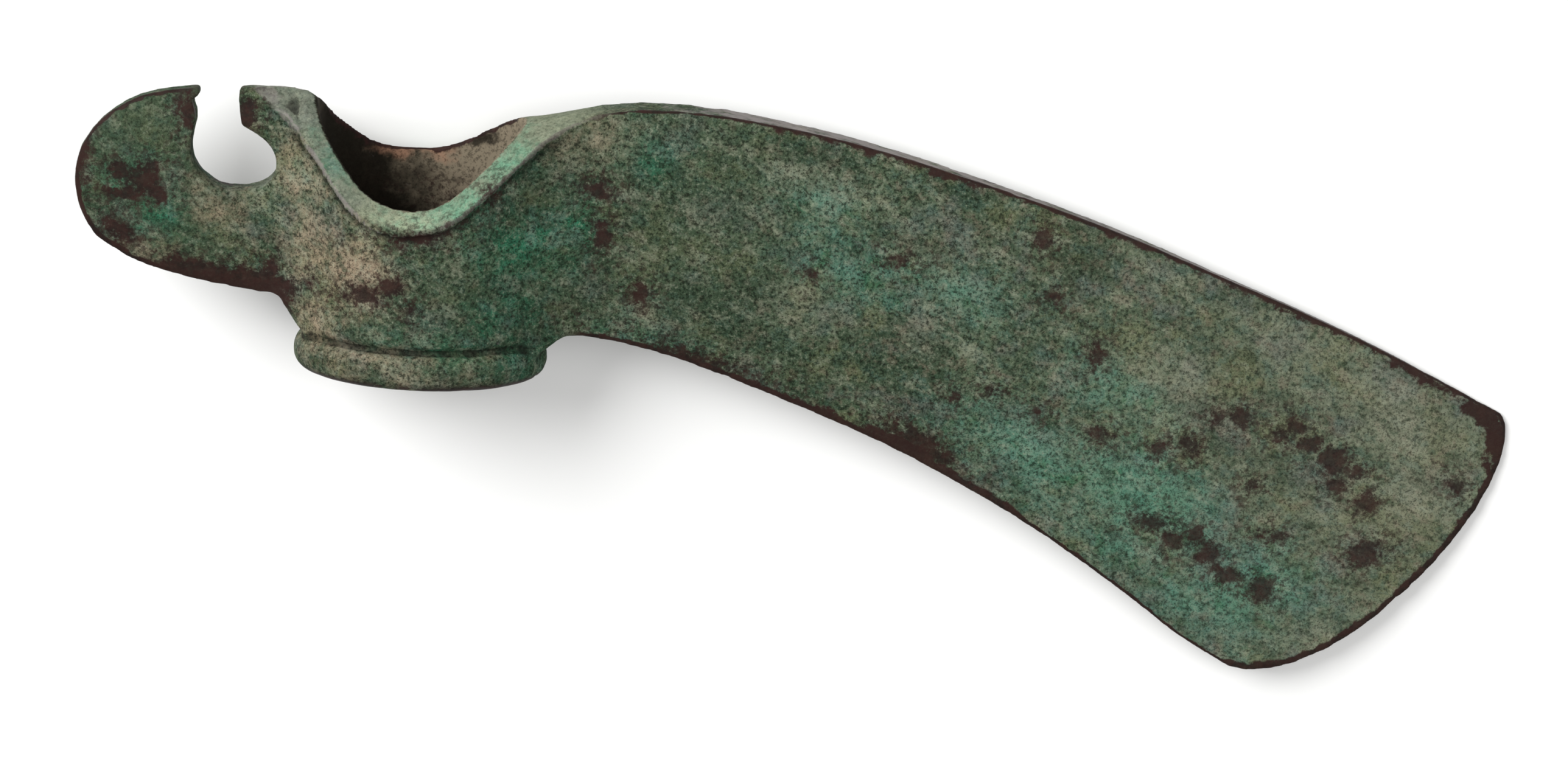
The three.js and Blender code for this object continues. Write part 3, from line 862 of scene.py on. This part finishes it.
# %% The whole finish
BUMP_STRENGTH = 0.5
BUMP_DEPTH = 0.12 * MM
BUMP_SHARES = (0.6, 0.4)  # of the grain and of the fine noise
CRUST_ROUGHNESS = 0.78
RUBBED_SMOOTH = 0.30  # how much smoother what is rubbed is
GRAIN_ROUGHNESS = 0.2  # how much the grain changes it
SPECULAR_LEVEL = 0.04


def patina():
    material = bpy.data.materials.new("patinated bronze")
    material.use_nodes = True
    tree = material.node_tree
    tree.nodes.clear()
    start = Wire(tree)
    place = scaled(start.node("ShaderNodeTexCoord", output="Object"), 1 / MM)
    across = start.node("ShaderNodeSeparateXYZ", {}, {0: place}, "X")
    on_blade = step(across, *SOCKET_TO_BLADE)
    mottle = fine_noise(streaked(place), "mottle")
    ragged = fine_noise(place, "ragged") - 0.5
    grain = fine_noise(place, "grain")
    fine = fine_noise(place, "fine")

    colour = ground(start, place, across, mottle)
    colour = earth_and_highlight_layer(start, place, across, on_blade, colour)
    colour = verdigris_layer(start, place, across, on_blade, colour)
    colour = flecks(start, place, across, mottle, grain, fine, colour)
    colour = bore_layer(start, place, grain, colour)
    colour, sheen = wear_and_highlight_layer(start, place, across, ragged, colour)
    colour = shaded_hollows_layer(start, grain, colour)
    colour, bare = cuprite_layer(start, place, on_blade, grain, ragged, colour)

    height = grain * BUMP_SHARES[0] + fine * BUMP_SHARES[1]
    raised = {"Strength": BUMP_STRENGTH, "Distance": BUMP_DEPTH, "Height": height}
    bump = start.node("ShaderNodeBump", {}, raised)
    speckle = (grain - 0.5) * GRAIN_ROUGHNESS
    roughness = CRUST_ROUGHNESS - bare * RUBBED_SMOOTH - sheen * RUBBED_SMOOTH + speckle
    sockets = {"Base Color": colour, "Roughness": roughness, "Normal": bump}
    sockets["Specular IOR Level"] = SPECULAR_LEVEL
    surface = start.node("ShaderNodeBsdfPrincipled", {}, sockets)
    output = tree.nodes.new("ShaderNodeOutputMaterial")
    tree.links.new(surface.socket, output.inputs["Surface"])
    return material


bronze_finish = patina()
print("nodes in the patina:", len(bronze_finish.node_tree.nodes))

# %% [markdown]
# ## The finished head
#
# The tree's sizes are set by its sockets' identifiers. A Decimate modifier after it thins the net where
# the surface is flat, and keeps edges and creases. The result is kept as a plain mesh, the modifiers go,
# and the piece takes the solid's place: it rides on the body root, and the solid is hidden.

# %% Apply the relief
TRIANGLES = 194000


def set_inputs(modifier, values):
    for item in modifier.node_group.interface.items_tree:
        if item.in_out == "INPUT" and item.name in values:
            modifier[item.identifier] = values[item.name]


modifier = head.modifiers.new("relief", "NODES")
modifier.node_group = relief
set_inputs(modifier, RELIEF_SIZES | {"Material": bronze_finish})
thinning = head.modifiers.new("thinning", "DECIMATE")
thinning.ratio = TRIANGLES / (2 * len(net.polygons))
finished = plain_mesh(head)
head.modifiers.clear()
head.data = finished
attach(head, "root")
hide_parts("axe_head")
lowest = min(vertex.co.z for vertex in finished.vertices)
triangles = sum(len(polygon.vertices) - 2 for polygon in finished.polygons)
print("triangles:", triangles, " lowest point, mm:", round(lowest / MM, 2))

# %% [markdown]
# ## Floor and light
#
# A pale floor and large soft lights, as in a studio. The main light comes from the upper left, so that the
# socket's left flank is bright, the mouth's right wall catches light and the left of the bore is dark.

# %% Floor
FLOOR_HALF = 3.0
FLOOR_COLOUR = (0.80, 0.80, 0.79, 1.0)
FLOOR_ROUGHNESS = 0.9


def pale_floor(height):
    mesh = bpy.data.meshes.new("floor")
    corners = ((-1, -1), (1, -1), (1, 1), (-1, 1))
    places = [(x * FLOOR_HALF, y * FLOOR_HALF, height) for x, y in corners]
    mesh.from_pydata(places, [], [(0, 1, 2, 3)])
    material = bpy.data.materials.new("pale floor")
    material.use_nodes = True
    shader = material.node_tree.nodes["Principled BSDF"]
    shader.inputs["Base Color"].default_value = FLOOR_COLOUR
    shader.inputs["Roughness"].default_value = FLOOR_ROUGHNESS
    mesh.materials.append(material)
    floor = bpy.data.objects.new("floor", mesh)
    bpy.context.scene.collection.objects.link(floor)
    return floor


pale_floor(lowest)
print("floor at, mm:", round(lowest / MM, 2))

# %% Lights
LIGHTS = {
    # place, size in metres, watts
    "main light": ((-0.52, 0.48, 0.60), 0.70, 11.0),
    "fill light": ((0.45, 0.10, 0.80), 0.80, 4.0),
}
STUDIO_WHITE = (1.0, 1.0, 1.0, 1.0)
STUDIO_STRENGTH = 0.45


def soft_light(name, place, size, watts):
    lamp = bpy.data.lights.new(name, "AREA")
    lamp.shape = "DISK"
    lamp.size = size
    lamp.energy = watts
    lamp_object = bpy.data.objects.new(name, lamp)
    lamp_object.location = place
    lamp_object.rotation_euler = (-Vector(place)).to_track_quat("-Z", "Y").to_euler()
    bpy.context.scene.collection.objects.link(lamp_object)


for name, (place, size, watts) in LIGHTS.items():
    soft_light(name, place, size, watts)

world = bpy.data.worlds.new("studio")
world.use_nodes = True
background = world.node_tree.nodes["Background"]
background.inputs["Color"].default_value = STUDIO_WHITE
background.inputs["Strength"].default_value = STUDIO_STRENGTH
bpy.context.scene.world = world
bpy.context.scene.view_settings.view_transform = "Standard"
print("lights:", list(LIGHTS))
